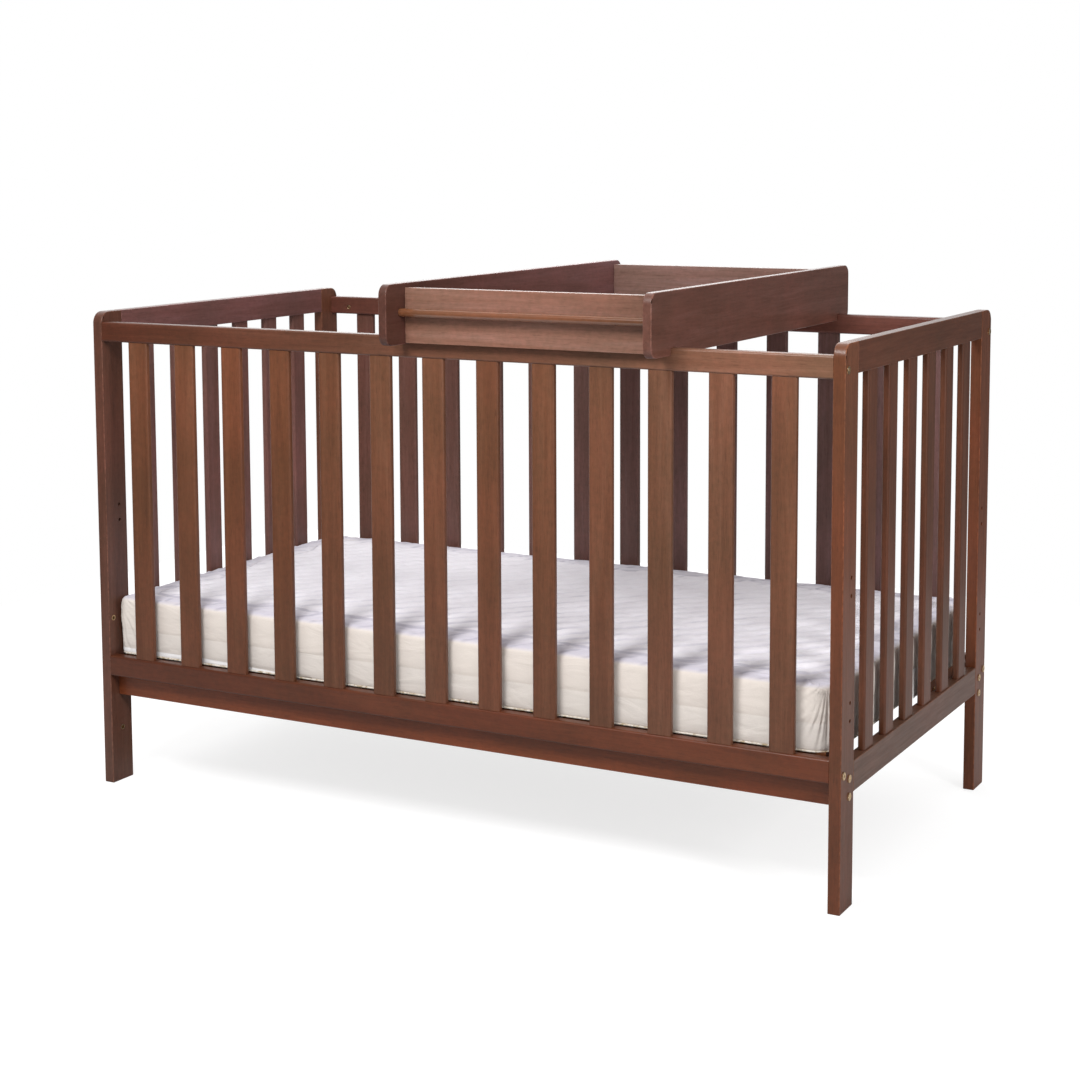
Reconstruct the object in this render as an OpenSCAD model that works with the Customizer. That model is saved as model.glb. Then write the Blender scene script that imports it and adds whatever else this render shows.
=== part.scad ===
// Cot bed with slatted sides and ends, an adjustable slatted base, a quilted mattress and a
// changing tray that sits across the side rails. Millimetres. X runs along the bed (right +),
// Y from the front side to the rear side, Z up. The origin is on the floor, under the middle
// of the whole model.

/* [Mattress] */
// Length of the mattress, along X
mattress_l = 1400; // [1150:5:1500]
// Width of the mattress, along Y
mattress_w = 700; // [580:5:760]
// Thickness of the mattress at its middle
mattress_t = 110; // [90:1:130]
// Free space between the mattress and each end of the bed
mattress_end_gap = 5; // [2:0.5:15]
// Free space between the mattress and each side of the bed
mattress_side_gap = 8; // [2:0.5:15]
// Clearance under the mattress, which lies loose on the base
mattress_rest_gap = 0.3; // [0.2:0.1:1]
// Radius of the mattress corners, seen from above
mattress_corner_r = 32; // [26:1:70]
// How much higher the mattress top is in the middle than at its edge
mattress_crown = 5; // [3:1:12]
// Depth of the quilting channels
quilt_depth = 3; // [1:0.5:5]
// Radius of the mattress's rounded top edge
mattress_top_r = 10; // [6:1:20]
// Radius of the mattress's rounded bottom edge
mattress_low_r = 5; // [3:1:15]
// Height of the side seam above the mattress's underside
seam_up = 45; // [30:1:60]
// How far the side seam draws in
seam_in = 2; // [1:0.5:6]
// Quilt points along the mattress length
quilt_nx = 36; // [24:2:36]
// Quilt points across the mattress width
quilt_ny = 18; // [12:2:18]

/* [Posts and end panels] */
// Height of the posts from the floor
post_h = 882; // [800:1:1000]
// Width of a post, along Y
post_w = 57; // [50:1:70]
// Thickness of the posts and end rails, along X
end_t = 20; // [18:0.5:28]
// Radius of the post's outer top corner
post_corner_r = 21; // [8:1:45]
// Height of the top end rail
end_top_rail_h = 49; // [40:1:70]
// Height of the bottom end rail
end_bottom_rail_h = 49; // [40:1:70]
// Height of the bottom end rail's underside above the floor
end_bottom_rail_z = 181; // [150:1:230]

/* [Sides] */
// Thickness of the side rails, along Y
side_rail_t = 22; // [18:0.5:30]
// How far the top side rail lies below the top of the posts
side_drop = 18; // [10:1:40]
// Height of the top side rail
side_top_rail_h = 36; // [28:1:50]
// Height of the bottom side rail
side_bottom_rail_h = 38; // [32:1:60]
// Height of the bottom side rail's underside above the floor
side_bottom_rail_z = 205; // [170:1:240]
// Edge radius of the side rails
side_rail_edge_r = 4; // [1:0.5:6]

/* [Slats] */
// Width of a slat
slat_w = 42; // [30:1:50]
// Thickness of a slat
slat_t = 12; // [10:0.5:14]
// Edge radius of a slat
slat_edge_r = 4; // [1:0.5:4.5]
// Space between a post and the nearest side slat
side_slat_end_gap = 58.2; // [45:0.1:65]
// How far a side slat lies behind the rail's outer face
side_slat_inset = 2; // [1:0.5:5]
// Number of slats in each end
end_slat_count = 6; // [5:1:6]
// How far an end slat lies behind the end panel's outer face
end_slat_inset = 3; // [1:0.5:4]
// Width of a slat's tenon
tenon_w = 30; // [14:1:32]
// Thickness of a slat's tenon
tenon_t = 7; // [4:0.5:7.5]
// Length of a slat's tenon
tenon_l = 10; // [6:1:14]
// Clearance of a tenon in its mortise, all round
mortise_gap = 0.2; // [0.1:0.05:0.4]

/* [Base] */
// Height of the base's underside above the floor, at its lowest setting
base_z = 165; // [140:1:190]
// Thickness of the base's long rails
base_rail_t = 28; // [22:1:32]
// Height of the base's long rails
base_rail_h = 71; // [64:1:80]
// Space between a long rail and the side of the bed
base_side_gap = 0.5; // [0.3:0.1:2]
// Number of base slats
base_slat_count = 11; // [9:1:12]
// Width of a base slat
base_slat_w = 65; // [50:1:75]
// Thickness of a base slat
base_slat_t = 9; // [7:0.5:14]
// How far the end slats lie from the ends of the bed
base_slat_margin = 15; // [10:1:20]
// How far the slats' ends lie behind the long rails' outer faces
base_slat_inset = 4; // [1:1:8]
// How much higher the middle setting is than the lowest
level_2_rise = 119; // [90:1:140]
// How much higher the top setting is than the lowest
level_3_rise = 314.5; // [260:0.5:340]

/* [Hardware] */
// Diameter of the bolts
bolt_d = 6; // [5:0.5:7]
// Clearance round a bolt in its hole
bolt_hole_gap = 0.25; // [0.1:0.05:0.5]
// Diameter of a bolt head
bolt_head_d = 12.5; // [11:0.5:16]
// Thickness of a bolt head
bolt_head_t = 1.5; // [1:0.25:4]
// Width across the flats of the bolt's hexagon socket
socket_af = 4; // [3:0.5:5]
// Depth of the bolt's hexagon socket
socket_deep = 1.5; // [1:0.25:3]
// How far a bolt runs past the middle of its barrel nut
bolt_past_nut = 8; // [6:1:10]
// Distance from the end of a side rail to its barrel nut
side_nut_from_end = 45; // [35:1:50]
// Distance from the end of a base rail to its barrel nut
base_nut_from_end = 57; // [40:1:65]
// Diameter of a barrel nut
nut_d = 10; // [9:0.5:12]
// How far a barrel nut lies below both faces of its rail
nut_recess = 3; // [1:0.5:4]
// Width of the screwdriver slot in a barrel nut
nut_slot_w = 1.2; // [0.8:0.1:2]
// Depth of the screwdriver slot in a barrel nut
nut_slot_deep = 1.2; // [0.6:0.1:2]
// Clearance round a barrel nut, a dowel or a ring insert
press_gap = 0.05; // [0.03:0.01:0.1]
// Height of the top rail's bolt above the rail's underside
top_bolt_up = 14; // [8:0.5:20]
// Height of the bottom rail's bolt above the rail's underside
bottom_bolt_up = 13; // [9:0.5:20]
// Height of the base's lower bolt above the base's underside
base_bolt_up = 13.7; // [10:0.1:15]
// Distance between the two bolts of a base corner
base_bolt_pitch = 28.5; // [24:0.5:30]
// Diameter of a dowel
dowel_d = 8; // [6:1:10]
// Length of a dowel in the end panels
end_dowel_l = 36; // [24:1:38]
// Distance from a rail's edge to its dowel
dowel_edge = 12; // [9:1:15]
// Extra depth of every blind hole
blind_gap = 0.5; // [0.3:0.1:1]
// Outer diameter of a ring insert
ring_d = 10; // [9:0.5:12]
// Inner diameter of a ring insert
ring_hole_d = 6; // [5:0.25:7]
// Depth of a ring insert in its post
ring_l = 12; // [8:1:15]
// Height of the upper ring insert
ring_high_z = 312; // [270:1:330]
// Distance from the post's outer face to the upper ring insert
ring_high_in = 12.3; // [9:0.1:16]
// Height of the lower ring insert
ring_low_z = 100; // [70:1:130]
// Distance from the post's outer face to the lower ring insert
ring_low_in = 30.3; // [20:0.1:36]
// Diameter of a slat screw
screw_d = 3.5; // [3:0.25:4]
// Length of a slat screw
screw_l = 28; // [20:1:28]
// Diameter of a slat screw's head
screw_head_d = 7; // [6:0.5:8]
// Clearance round a slat screw
screw_gap = 0.1; // [0.05:0.05:0.2]

/* [Changer] */
// Width of the changer over its side boards, along X
changer_w = 495; // [420:1:560]
// Position of the changer's middle along the bed
changer_x = 191.5; // [0:0.5:300]
// How far the changer's side boards reach past the front of the bed
changer_front_over = 73; // [60:1:90]
// How far the changer's side boards reach past the rear of the bed
changer_rear_over = 35; // [26:1:60]
// Thickness of the changer's boards
board_t = 15; // [12:0.5:18]
// Height of the changer's side boards
side_board_h = 102; // [90:1:130]
// Corner radius of the changer's side boards
side_board_r = 18; // [8:1:24]
// Depth of the notches that seat the side boards on the rails
notch_deep = 12; // [8:1:16]
// Clearance between a rail and each side of its notch
notch_gap = 0.5; // [0.3:0.1:1.5]
// Height of the front and rear boards
cross_board_h = 92; // [80:1:100]
// How far the front and rear boards' undersides lie above the side boards'
cross_board_up = 2; // [1:0.5:6]
// Height of the bottom panel's underside above the rails
panel_up = 6; // [3:0.5:12]
// Thickness of the bottom panel
panel_t = 8; // [5:0.5:10]
// Depth of the grooves for the bottom panel
groove_deep = 6; // [4:0.5:8]
// Clearance of the bottom panel in its grooves
groove_gap = 0.2; // [0.1:0.05:0.4]
// Diameter of the towel rod
rod_d = 14; // [10:0.5:18]
// Space between the towel rod and the front board
rod_gap = 6.5; // [5:0.5:16]
// Height of the rod's middle above the side boards' underside
rod_up = 53.5; // [40:0.5:70]
// Depth of the rod's holes in the side boards
rod_hole_deep = 10; // [6:0.5:12]
// Clearance round the rod in its holes
rod_hole_gap = 0.1; // [0.05:0.05:0.3]
// Length of a dowel in the changer
changer_dowel_l = 30; // [20:1:36]
// Depth of the changer's dowel holes in the side boards
changer_dowel_in = 10; // [7:0.5:11]
// Distance from the top and bottom of a cross board to its dowel
changer_dowel_edge = 32; // [28:1:36]

/* [Hidden] */
side_slat_count = 13;
walnut = [0.38, 0.20, 0.13];
walnut_end = [0.33, 0.18, 0.14];
rod_brown = [0.52, 0.26, 0.13];
board_grey = [0.55, 0.50, 0.46];
brass = [0.78, 0.62, 0.36];
cloth = [0.90, 0.88, 0.87];
pine = [0.80, 0.66, 0.46];

// Bed sizes
in_l = mattress_l + 2 * mattress_end_gap;
in_w = mattress_w + 2 * mattress_side_gap;
half_l = in_l / 2 + end_t;
half_w = in_w / 2 + side_rail_t;
end_inside = 2 * (half_w - post_w);
cut = 1;
overlap = 0.01;

// Heights
side_top_z = post_h - side_drop;
top_rail_z = side_top_z - side_top_rail_h;
bottom_rail_top = side_bottom_rail_z + side_bottom_rail_h;
end_top_rail_z = post_h - end_top_rail_h;
end_bottom_rail_top = end_bottom_rail_z + end_bottom_rail_h;
base_top = base_z + base_rail_h;
base_slat_run = in_l - 2 * base_slat_margin - base_slat_w;
mattress_z = base_top + base_slat_t + mattress_rest_gap;

// Mattress
half_ml = mattress_l / 2;
half_mw = mattress_w / 2;
rim_z = mattress_t - mattress_crown;
// Share of a quarter round's radius that its middle lies inside its corner
arc_in = 1 - cos(45);

// Side and end slats
side_slat_pitch = (in_l - 2 * side_slat_end_gap - slat_w) / (side_slat_count - 1);
end_slat_pitch = (end_inside + slat_w) / (end_slat_count + 1);
side_slat_y = half_w - side_slat_inset - slat_t / 2;
end_slat_x = half_l - end_slat_inset - slat_t / 2;

// Bolt lines
side_bolt_y = half_w - side_rail_t / 2;
base_rail_y = half_w - side_rail_t - base_side_gap - base_rail_t / 2;
side_bolt_zs = [top_rail_z + top_bolt_up, side_bottom_rail_z + bottom_bolt_up];
base_bolt_zs = [base_z + base_bolt_up, base_z + base_bolt_up + base_bolt_pitch];
levels = [0, level_2_rise, level_3_rise];

// Dowels of the end panels
end_dowel_zs = [
    end_top_rail_z + dowel_edge, post_h - dowel_edge,
    end_bottom_rail_z + dowel_edge, end_bottom_rail_top - dowel_edge
];

// Changer
changer_z = side_top_z - notch_deep;
changer_front = -half_w - changer_front_over;
changer_rear = half_w + changer_rear_over;
cross_y = half_w + notch_gap + board_t / 2;
cross_z = changer_z + cross_board_up;
tray_w = changer_w - 2 * board_t;
tray_l = 2 * (half_w + notch_gap);
panel_z = side_top_z + panel_up;
rod_y = -(half_w + notch_gap + board_t + rod_gap + rod_d / 2);
rod_z = changer_z + rod_up;
changer_dowel_zs = [cross_z + changer_dowel_edge, cross_z + cross_board_h - changer_dowel_edge];

// The middle of the whole model along Y is put on the origin
origin_y = (changer_front_over - changer_rear_over) / 2;

// ---- Helpers ----

// Puts the bed on the model's origin
module placed() {
    translate([0, origin_y, 0]) children();
}

// Mirrors what is drawn at the right or rear (sx or sy = 1) to the left or front (-1)
module at_side(sx, sy) {
    mirror([sx < 0 ? 1 : 0, 0, 0]) mirror([0, sy < 0 ? 1 : 0, 0]) children();
}

module at_corners() {
    for (sx = [-1, 1], sy = [-1, 1]) at_side(sx, sy) children();
}

// Rectangle from [x, y] with four round corners
module round_rect(x, y, w, h, r) {
    translate([x + r, y]) square([w - 2 * r, h]);
    translate([x, y + r]) square([w, h - 2 * r]);
    for (cx = [x + r, x + w - r], cy = [y + r, y + h - r])
        translate([cx, cy]) circle(r = r, $fn = 32);
}

module box_from(a, b) {
    translate(a) cube(b - a);
}

module rod_along_x(x, y, z, len, d) {
    translate([x, y, z]) rotate([0, 90, 0]) cylinder(d = d, h = len, $fn = 48);
}

module rod_along_y(x, y, z, len, d) {
    translate([x, y, z]) rotate([-90, 0, 0]) cylinder(d = d, h = len, $fn = 48);
}

// ---- Slats ----

// A slat with a tenon at each end, its middle on the axis, its shoulders at z0 and z1
module slat(z0, z1) {
    translate([0, 0, z0]) linear_extrude(z1 - z0)
        round_rect(-slat_w / 2, -slat_t / 2, slat_w, slat_t, slat_edge_r);
    box_from([-tenon_w / 2, -tenon_t / 2, z0 - tenon_l], [tenon_w / 2, tenon_t / 2, z1 + tenon_l]);
}

// The space that a slat's two tenons need
module mortises(z0, z1) {
    w = tenon_w / 2 + mortise_gap;
    t = tenon_t / 2 + mortise_gap;
    box_from([-w, -t, z0 - tenon_l - blind_gap], [w, t, z0 + cut]);
    box_from([-w, -t, z1 - cut], [w, t, z1 + tenon_l + blind_gap]);
}

function side_slat_x(i) = (i - (side_slat_count + 1) / 2) * side_slat_pitch;
function end_slat_y(i) = (i - (end_slat_count + 1) / 2) * end_slat_pitch;

module side_slat(sy, i) {
    color(walnut) placed()
        translate([side_slat_x(i), sy * side_slat_y, 0]) slat(bottom_rail_top, top_rail_z);
}

module end_slats(sx) {
    color(walnut_end) placed()
        for (i = [1:end_slat_count])
            translate([sx * end_slat_x, end_slat_y(i), 0]) rotate([0, 0, 90])
                slat(end_bottom_rail_top, end_top_rail_z);
}

// ---- Posts ----

module post_outline() {
    difference() {
        translate([half_w - post_w, 0]) square([post_w, post_h]);
        difference() {
            translate([half_w - post_corner_r, post_h - post_corner_r])
                square([post_corner_r + cut, post_corner_r + cut]);
            translate([half_w - post_corner_r, post_h - post_corner_r])
                circle(r = post_corner_r, $fn = 64);
        }
    }
}

// The rear right post, mirrored to the other corners
module post(sx, sy) {
    hole_d = bolt_d + 2 * bolt_hole_gap;
    color(walnut) placed() at_side(sx, sy) difference() {
        translate([half_l - end_t, 0, 0]) rotate([90, 0, 90]) linear_extrude(end_t) post_outline();
        for (z = side_bolt_zs)
            rod_along_x(in_l / 2 - cut, side_bolt_y, z, end_t + 2 * cut, hole_d);
        for (level = levels, z = base_bolt_zs)
            rod_along_x(in_l / 2 - cut, base_rail_y, z + level, end_t + 2 * cut, hole_d);
        ring_seat(ring_high_in, ring_high_z);
        ring_seat(ring_low_in, ring_low_z);
        for (z = end_dowel_zs)
            rod_along_y(half_l - end_t / 2, half_w - post_w - cut, z,
                        end_dowel_l / 2 + blind_gap + cut, dowel_d + 2 * press_gap);
    }
}

module ring_seat(from_face, z) {
    rod_along_x(in_l / 2 - cut, half_w - from_face, z, ring_l + blind_gap + cut,
                ring_d + 2 * press_gap);
}

// ---- End rails ----

module end_rail(sx, z0, h, slat_z0, slat_z1) {
    color(walnut_end) placed() at_side(sx, 1) difference() {
        box_from([in_l / 2, -end_inside / 2, z0], [half_l, end_inside / 2, z0 + h]);
        for (i = [1:end_slat_count])
            translate([end_slat_x, end_slat_y(i), 0]) rotate([0, 0, 90]) mortises(slat_z0, slat_z1);
        for (s = [-1, 1], z = [z0 + dowel_edge, z0 + h - dowel_edge])
            at_side(1, s)
                rod_along_y(half_l - end_t / 2, end_inside / 2 - end_dowel_l / 2 - blind_gap, z,
                            end_dowel_l / 2 + blind_gap + cut, dowel_d + 2 * press_gap);
    }
}

module end_top_rail(sx) {
    end_rail(sx, end_top_rail_z, end_top_rail_h, end_bottom_rail_top, end_top_rail_z);
}

module end_bottom_rail(sx) {
    end_rail(sx, end_bottom_rail_z, end_bottom_rail_h, end_bottom_rail_top, end_top_rail_z);
}

module end_panel_dowels() {
    color(pine) placed() at_corners()
        for (z = end_dowel_zs)
            rod_along_y(half_l - end_t / 2, half_w - post_w - end_dowel_l / 2, z,
                        end_dowel_l, dowel_d);
}

// ---- Side rails ----

// Length of a bolt's shank, from the post's outer face past its barrel nut
function bolt_l(nut_in) = end_t + nut_in + bolt_past_nut;

// Holes at both ends of a rail for a bolt and its barrel nut
module bolt_holes(y, z, rail_t, nut_in) {
    for (s = [-1, 1]) at_side(s, 1) {
        rod_along_x(half_l - bolt_l(nut_in) - blind_gap, y, z, bolt_l(nut_in),
                    bolt_d + 2 * bolt_hole_gap);
        rod_along_y(in_l / 2 - nut_in, y - rail_t / 2 - cut, z,
                    rail_t - nut_recess + blind_gap + cut, nut_d + 2 * press_gap);
    }
}

module side_rail(sy, z0, h, bolt_z) {
    color(walnut) placed() at_side(1, sy) difference() {
        translate([-in_l / 2, 0, 0]) rotate([90, 0, 90]) linear_extrude(in_l)
            round_rect(half_w - side_rail_t, z0, side_rail_t, h, side_rail_edge_r);
        for (i = [1:side_slat_count])
            translate([side_slat_x(i), side_slat_y, 0]) mortises(bottom_rail_top, top_rail_z);
        bolt_holes(side_bolt_y, bolt_z, side_rail_t, side_nut_from_end);
    }
}

module side_top_rail(sy) {
    side_rail(sy, top_rail_z, side_top_rail_h, side_bolt_zs[0]);
}

module side_bottom_rail(sy) {
    side_rail(sy, side_bottom_rail_z, side_bottom_rail_h, side_bolt_zs[1]);
}

// ---- Bolts, barrel nuts and inserts ----

// A bolt in the right end, its head on the post's outer face
module bolt(y, z, nut_in) {
    difference() {
        union() {
            rod_along_x(half_l - bolt_l(nut_in), y, z, bolt_l(nut_in) + cut, bolt_d);
            rod_along_x(half_l, y, z, bolt_head_t, bolt_head_d);
        }
        translate([half_l + bolt_head_t - socket_deep, y, z]) rotate([0, 90, 0])
            cylinder(d = socket_af / cos(30), h = socket_deep + cut, $fn = 6);
    }
}

// A barrel nut in the right end of a rail, slotted on the bed's inner side
module barrel_nut(y, z, rail_t, nut_in) {
    x = in_l / 2 - nut_in;
    len = rail_t - 2 * nut_recess;
    difference() {
        rod_along_y(x, y - len / 2, z, len, nut_d);
        rod_along_x(x - nut_d, y, z, 2 * nut_d, bolt_d + 2 * press_gap);
        translate([x - nut_d, y - len / 2 - cut, z - nut_slot_w / 2])
            cube([2 * nut_d, nut_slot_deep + cut, nut_slot_w]);
    }
}

module side_rail_bolts() {
    color(brass) placed() at_corners()
        for (z = side_bolt_zs) bolt(side_bolt_y, z, side_nut_from_end);
}

module side_rail_barrel_nuts() {
    color(brass) placed() at_corners()
        for (z = side_bolt_zs) barrel_nut(side_bolt_y, z, side_rail_t, side_nut_from_end);
}

module base_bolts() {
    color(brass) placed() at_corners()
        for (z = base_bolt_zs) bolt(base_rail_y, z, base_nut_from_end);
}

module base_barrel_nuts() {
    color(brass) placed() at_corners()
        for (z = base_bolt_zs) barrel_nut(base_rail_y, z, base_rail_t, base_nut_from_end);
}

module ring_insert(from_face, z) {
    difference() {
        rod_along_x(in_l / 2, half_w - from_face, z, ring_l, ring_d);
        rod_along_x(in_l / 2 - cut, half_w - from_face, z, ring_l + 2 * cut, ring_hole_d);
    }
}

module insert_rings() {
    color(brass) placed() at_corners() {
        ring_insert(ring_high_in, ring_high_z);
        ring_insert(ring_low_in, ring_low_z);
    }
}

// ---- Base ----

function base_slat_x(i) = -base_slat_run / 2 + i * base_slat_run / (base_slat_count - 1);

module screw_body(x, y, gap) {
    head_z = base_top + base_slat_t - blind_gap;
    head_h = (screw_head_d - screw_d) / 2;
    translate([x, y, head_z - screw_l]) cylinder(d = screw_d + 2 * gap, h = screw_l, $fn = 24);
    translate([x, y, head_z - head_h])
        cylinder(d1 = screw_d + 2 * gap, d2 = screw_head_d + 2 * gap, h = head_h, $fn = 24);
    if (gap > 0)
        translate([x, y, head_z - overlap])
            cylinder(d = screw_head_d + 2 * gap, h = blind_gap + cut, $fn = 24);
}

module at_screws() {
    for (i = [0:base_slat_count - 1], s = [-1, 1])
        translate([base_slat_x(i), s * base_rail_y, 0]) children();
}

module base_rail(sy) {
    color(walnut) placed() at_side(1, sy) difference() {
        box_from([-in_l / 2, base_rail_y - base_rail_t / 2, base_z],
                 [in_l / 2, base_rail_y + base_rail_t / 2, base_top]);
        for (z = base_bolt_zs) bolt_holes(base_rail_y, z, base_rail_t, base_nut_from_end);
        at_screws() screw_body(0, 0, screw_gap);
    }
}

module base_slats() {
    y1 = base_rail_y + base_rail_t / 2 - base_slat_inset;
    color(walnut) placed() difference() {
        for (i = [0:base_slat_count - 1])
            translate([base_slat_x(i) - base_slat_w / 2, -y1, base_top])
                cube([base_slat_w, 2 * y1, base_slat_t]);
        at_screws() screw_body(0, 0, screw_gap);
    }
}

module base_slat_screws() {
    color(brass) placed() at_screws() screw_body(0, 0, 0);
}

// ---- Mattress ----

// A lattice of quilt points makes the top, and rings below its rim make the sides. Channels
// run along both diagonals of the lattice, through the points where i + j is even.
// A plan point, pulled onto the corner arc where it lies outside it
function rounded(x, y, a, b, r) =
    let (dx = abs(x) - (a - r), dy = abs(y) - (b - r), d = norm([dx, dy]))
    dx > 0 && dy > 0 && d > r
        ? [sign(x) * (a - r + dx * r / d), sign(y) * (b - r + dy * r / d)]
        : [x, y];

function plan(i, j, inset) =
    let (a = half_ml - inset, b = half_mw - inset)
    rounded((2 * i / quilt_nx - 1) * a, (2 * j / quilt_ny - 1) * b, a, b,
            mattress_corner_r - inset);

function on_rim(i, j) = i == 0 || j == 0 || i == quilt_nx || j == quilt_ny;

// Height of the top: level at the rim, crowned inside, low along the channels
function top_z(i, j) =
    let (u = 2 * i / quilt_nx - 1, v = 2 * j / quilt_ny - 1)
    rim_z + mattress_crown * (1 - pow(u, 4)) * (1 - pow(v, 4))
          - (on_rim(i, j) || (i + j) % 2 == 1 ? 0 : quilt_depth);

top_points = [for (i = [0:quilt_nx], j = [0:quilt_ny])
    let (p = plan(i, j, mattress_top_r)) [p.x, p.y, top_z(i, j)]];

// The lattice's rim, once round from its first corner
rim = concat(
    [for (i = [0:quilt_nx - 1]) [i, 0]],
    [for (j = [0:quilt_ny - 1]) [quilt_nx, j]],
    [for (i = [quilt_nx:-1:1]) [i, quilt_ny]],
    [for (j = [quilt_ny:-1:1]) [0, j]]
);

// Side rings from the top down: how far in, and how high
side_rings = [
    [mattress_top_r * arc_in, rim_z - mattress_top_r * arc_in],
    [0, rim_z - mattress_top_r],
    [seam_in, seam_up],
    [0, mattress_low_r],
    [mattress_low_r, 0]
];
ring_points = [for (ring = side_rings, c = rim)
    let (p = plan(c.x, c.y, ring.x)) [p.x, p.y, ring.y]];

top_count = len(top_points);
rim_count = len(rim);
function top_at(i, j) = i * (quilt_ny + 1) + j;
function ring_at(k, c) =
    k < 0 ? top_at(rim[c % rim_count].x, rim[c % rim_count].y)
          : top_count + k * rim_count + c % rim_count;

// Each lattice square is split along its channel
top_faces = [for (i = [0:quilt_nx - 1], j = [0:quilt_ny - 1], half = [0, 1])
    let (a = top_at(i, j), b = top_at(i + 1, j), c = top_at(i + 1, j + 1), d = top_at(i, j + 1))
    (i + j) % 2 == 0 ? (half == 0 ? [a, c, b] : [a, d, c])
                     : (half == 0 ? [a, d, b] : [b, d, c])];
ring_faces = [for (k = [-1:len(side_rings) - 2], c = [0:rim_count - 1], half = [0, 1])
    half == 0 ? [ring_at(k, c), ring_at(k, c + 1), ring_at(k + 1, c + 1)]
              : [ring_at(k, c), ring_at(k + 1, c + 1), ring_at(k + 1, c)]];
bottom_face = [[for (c = [0:rim_count - 1]) ring_at(len(side_rings) - 1, c)]];

module mattress() {
    color(cloth) placed() translate([0, 0, mattress_z])
        polyhedron(points = concat(top_points, ring_points),
                   faces = concat(top_faces, ring_faces, bottom_face), convexity = 4);
}

// ---- Changer ----

// Draws the changer with its own middle along X on the bed's changer position
module on_changer() {
    placed() translate([changer_x, 0, 0]) children();
}

// The right side board, mirrored to the left
module changer_side_board(sx) {
    x0 = changer_w / 2 - board_t;
    color(walnut) on_changer() at_side(sx, 1) difference() {
        translate([x0, 0, 0]) rotate([90, 0, 90]) linear_extrude(board_t) difference() {
            round_rect(changer_front, changer_z, changer_rear - changer_front,
                       side_board_h, side_board_r);
            for (y = [-half_w, half_w - side_rail_t])
                translate([y - notch_gap, changer_z - cut])
                    square([side_rail_t + 2 * notch_gap, notch_deep + cut]);
        }
        panel_space();
        rod_along_x(x0 - cut, rod_y, rod_z, rod_hole_deep + cut, rod_d + 2 * rod_hole_gap);
        changer_dowel_holes();
    }
}

// The front or rear board
module changer_cross_board(sy) {
    color(walnut) on_changer() difference() {
        translate([-tray_w / 2, sy * cross_y - board_t / 2, cross_z])
            cube([tray_w, board_t, cross_board_h]);
        panel_space();
        changer_dowel_holes();
    }
}

// The bottom panel with its grooves' clearance
module panel_space() {
    a = tray_w / 2 + groove_deep;
    b = tray_l / 2 + groove_deep;
    box_from([-a, -b, panel_z - groove_gap], [a, b, panel_z + panel_t + groove_gap]);
}

module changer_bottom_panel() {
    a = tray_w / 2 + groove_deep - groove_gap;
    b = tray_l / 2 + groove_deep - groove_gap;
    color(board_grey) on_changer() box_from([-a, -b, panel_z], [a, b, panel_z + panel_t]);
}

module changer_rod() {
    len = tray_w + 2 * (rod_hole_deep - rod_hole_gap);
    color(rod_brown) on_changer() rod_along_x(-len / 2, rod_y, rod_z, len, rod_d);
}

module at_changer_dowels() {
    for (sx = [-1, 1], sy = [-1, 1], z = changer_dowel_zs)
        at_side(sx, sy)
            translate([tray_w / 2 + changer_dowel_in - changer_dowel_l, cross_y, z]) children();
}

module changer_dowel_holes() {
    at_changer_dowels()
        rod_along_x(-blind_gap, 0, 0, changer_dowel_l + 2 * blind_gap, dowel_d + 2 * press_gap);
}

module changer_dowels() {
    color(pine) on_changer() at_changer_dowels()
        rod_along_x(0, 0, 0, changer_dowel_l, dowel_d);
}

// ---- The assembly ----

post(-1, -1);  // post_front_left
post(1, -1);  // post_front_right
post(-1, 1);  // post_rear_left
post(1, 1);  // post_rear_right
end_top_rail(-1);  // left_top_rail
end_bottom_rail(-1);  // left_bottom_rail
end_top_rail(1);  // right_top_rail
end_bottom_rail(1);  // right_bottom_rail
side_top_rail(-1);  // front_top_rail
side_bottom_rail(-1);  // front_bottom_rail
side_top_rail(1);  // rear_top_rail
side_bottom_rail(1);  // rear_bottom_rail
side_slat(-1, 1);  // front_slat_1
side_slat(-1, 2);  // front_slat_2
side_slat(-1, 3);  // front_slat_3
side_slat(-1, 4);  // front_slat_4
side_slat(-1, 5);  // front_slat_5
side_slat(-1, 6);  // front_slat_6
side_slat(-1, 7);  // front_slat_7
side_slat(-1, 8);  // front_slat_8
side_slat(-1, 9);  // front_slat_9
side_slat(-1, 10);  // front_slat_10
side_slat(-1, 11);  // front_slat_11
side_slat(-1, 12);  // front_slat_12
side_slat(-1, 13);  // front_slat_13
side_slat(1, 1);  // rear_slat_1
side_slat(1, 2);  // rear_slat_2
side_slat(1, 3);  // rear_slat_3
side_slat(1, 4);  // rear_slat_4
side_slat(1, 5);  // rear_slat_5
side_slat(1, 6);  // rear_slat_6
side_slat(1, 7);  // rear_slat_7
side_slat(1, 8);  // rear_slat_8
side_slat(1, 9);  // rear_slat_9
side_slat(1, 10);  // rear_slat_10
side_slat(1, 11);  // rear_slat_11
side_slat(1, 12);  // rear_slat_12
side_slat(1, 13);  // rear_slat_13
end_slats(-1);  // left_end_slats
end_slats(1);  // right_end_slats
base_rail(-1);  // base_front_rail
base_rail(1);  // base_rear_rail
base_slats();
base_slat_screws();
mattress();
changer_side_board(-1);  // changer_left_board
changer_side_board(1);  // changer_right_board
changer_cross_board(-1);  // changer_front_board
changer_cross_board(1);  // changer_rear_board
changer_bottom_panel();
changer_rod();
changer_dowels();
end_panel_dowels();
side_rail_bolts();
side_rail_barrel_nuts();
base_bolts();
base_barrel_nuts();
insert_rings();
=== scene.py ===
"""Looks of a slatted cot bed with a mattress and a changing tray, built round its CAD frame."""

import math

import bmesh
import bpy
import numpy as np
from mathutils import Matrix, Vector, noise


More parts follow.
